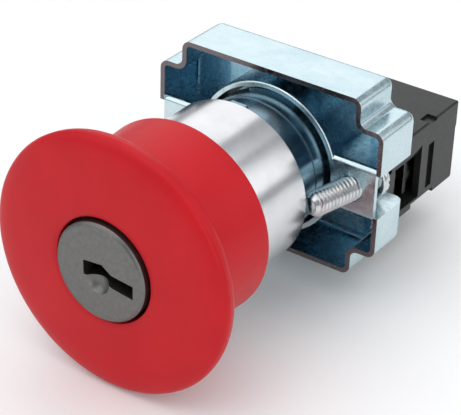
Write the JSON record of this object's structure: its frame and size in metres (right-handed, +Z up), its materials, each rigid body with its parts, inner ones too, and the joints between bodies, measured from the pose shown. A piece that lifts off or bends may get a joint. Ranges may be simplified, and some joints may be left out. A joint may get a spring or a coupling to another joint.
{
  "type": "emergency stop button",
  "caption": "Panel-mounted emergency stop: red mushroom head that latches when pushed, released by a key, with a clamped mounting frame and a normally closed contact block.",
  "frame": {"origin": "on the button's axis, in the plane of the bezel's rear face, which rests on the front of the panel", "axes": "+Y along the button's axis from the head to the contact block, +X to the right seen from the head's side, +Z up"},
  "size_m": [0.0402, 0.0741, 0.04],
  "materials": {
    "red_plastic": "satin moulded red plastic",
    "lock_metal": "satin nickel-plated lock metal",
    "chrome_body": "satin chrome plating on a die casting",
    "zinc_sheet": "pale blue zinc plating on drawn sheet",
    "zinc_screw": "bright zinc plating",
    "dark_steel": "blackened steel",
    "spring_steel": "drawn spring wire",
    "black_plastic": "matt black moulded plastic",
    "grey_plastic": "dark grey moulded plastic",
    "rubber_seal": "soft black rubber",
    "brass": "plain brass",
    "silver_contact": "silver contact metal"
  },
  "bodies": {
    "operator": {"operator_body": "chrome_body", "stem_seal": "rubber_seal", "panel_gasket": "rubber_seal"},
    "head": {"mushroom_cap": "red_plastic", "head_stem": "grey_plastic", "stop_circlip": "spring_steel", "pusher_disc": "black_plastic", "return_spring": "spring_steel", "lock_case": "lock_metal", "lock_pin": "spring_steel"},
    "lock": {"lock_plug": "lock_metal", "lock_wafers": "brass", "wafer_springs": "spring_steel", "plug_circlip": "spring_steel", "latch_rotor": "zinc_screw", "latch_spring": "spring_steel"},
    "frame": {"mounting_frame": "zinc_sheet", "block_housing": "black_plastic", "block_cover": "black_plastic", "terminal_bar_left": "dark_steel", "terminal_bar_right": "dark_steel", "fixed_tips": "silver_contact"},
    "screw_left": {"clamp_screw_left": "zinc_screw"},
    "screw_right": {"clamp_screw_right": "zinc_screw"},
    "plunger": {"block_plunger": "grey_plastic", "contact_bridge": "brass", "bridge_tips": "silver_contact", "contact_spring": "spring_steel", "plunger_spring": "spring_steel"},
    "wire_clamp_left": {"terminal_clamp_left": "dark_steel"},
    "wire_clamp_right": {"terminal_clamp_right": "dark_steel"},
    "wire_screw_left": {"terminal_screw_left": "dark_steel"},
    "wire_screw_right": {"terminal_screw_right": "dark_steel"}
  },
  "joints": [
    {"name": "head_push", "type": "slide", "parent": "operator", "child": "head", "axis": [0, 1, 0], "range_m": [0, 0.0055], "stiffness_N_per_m": 900, "springref_m": -0.012, "deforming": ["return_spring"]},
    {"name": "key_turn", "type": "hinge", "parent": "head", "child": "lock", "pos_m": [0, 0, 0], "axis": [0, 1, 0], "range_deg": [0, 45], "stiffness_Nm_per_rad": 0.02, "springref_deg": -17.19},
    {"name": "frame_turn", "type": "hinge", "parent": "operator", "child": "frame", "pos_m": [0, 0, 0], "axis": [0, 1, 0], "range_deg": [0, 60]},
    {"name": "plunger_push", "type": "slide", "parent": "frame", "child": "plunger", "axis": [0, 1, 0], "range_m": [0, 0.0055], "deforming": ["plunger_spring"]},
    {"name": "clamp_left", "type": "slide", "parent": "frame", "child": "screw_left", "axis": [-0.2368, 0.9715, 0], "range_m": [0, 0.0056]},
    {"name": "clamp_right", "type": "slide", "parent": "frame", "child": "screw_right", "axis": [0.2368, 0.9715, 0], "range_m": [0, 0.0056]},
    {"name": "wire_clamp_left_slide", "type": "slide", "parent": "frame", "child": "wire_clamp_left", "axis": [0, -1, 0], "range_m": [0, 0.0016]},
    {"name": "wire_clamp_right_slide", "type": "slide", "parent": "frame", "child": "wire_clamp_right", "axis": [0, -1, 0], "range_m": [0, 0.0016]},
    {"name": "wire_screw_left_turn", "type": "hinge", "parent": "wire_clamp_left", "child": "wire_screw_left", "pos_m": [-0.0106, 0.03, -0.008], "axis": [0, -1, 0], "range_deg": [0, 840]},
    {"name": "wire_screw_right_turn", "type": "hinge", "parent": "wire_clamp_right", "child": "wire_screw_right", "pos_m": [0.0106, 0.03, -0.008], "axis": [0, -1, 0], "range_deg": [0, 840]}
  ],
  "couplings": [
    {"joint": "plunger_push", "follows": "head_push", "ratio": 1},
    {"joint": "wire_screw_left_turn", "follows": "wire_clamp_left_slide", "rad_per_m": 9162.1},
    {"joint": "wire_screw_right_turn", "follows": "wire_clamp_right_slide", "rad_per_m": 9162.1}
  ]
}
